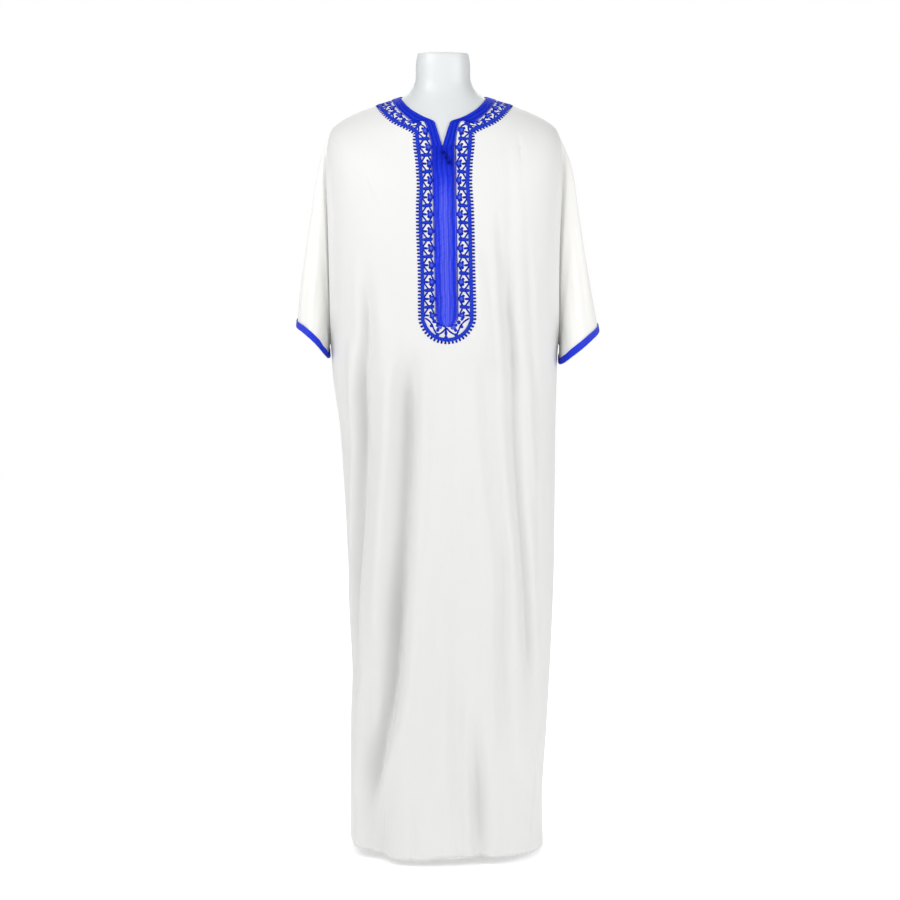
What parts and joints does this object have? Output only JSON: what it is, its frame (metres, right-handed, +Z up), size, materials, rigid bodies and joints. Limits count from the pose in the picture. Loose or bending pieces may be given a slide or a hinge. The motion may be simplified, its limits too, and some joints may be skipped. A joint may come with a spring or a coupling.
{
  "type": "gandoura robe on a dress form",
  "caption": "Long straight robe with short wide sleeves, a braid-edged V neck and a long narrow bib, worn by a limbless dress form on a round base.",
  "frame": {"origin": "centre of the base's underside, on the floor", "axes": "+Z up along the pole, -Y out of the robe's front, +X to the right as the front is seen"},
  "size_m": [0.5689, 0.2867, 1.5246],
  "materials": {
    "white_cloth": "smooth plain-woven cloth, slightly lustrous",
    "blue_braid": "ribbed satin braid and thread",
    "blue_cord": "knotted cord",
    "form_shell": "smooth glossy moulded shell",
    "stand_metal": "white enamel"
  },
  "bodies": {
    "root": {"front_panel": "white_cloth", "back_panel": "white_cloth", "sleeve_left": "white_cloth", "sleeve_right": "white_cloth", "neck_braid": "blue_braid", "placket": "blue_braid", "bib_band": "blue_braid", "cuff_braid_left": "blue_braid", "cuff_braid_right": "blue_braid", "knot_button_1": "blue_cord", "knot_button_2": "blue_cord", "knot_button_3": "blue_cord", "form_torso": "form_shell", "form_pole": "stand_metal", "form_base": "stand_metal"}
  },
  "joints": []
}
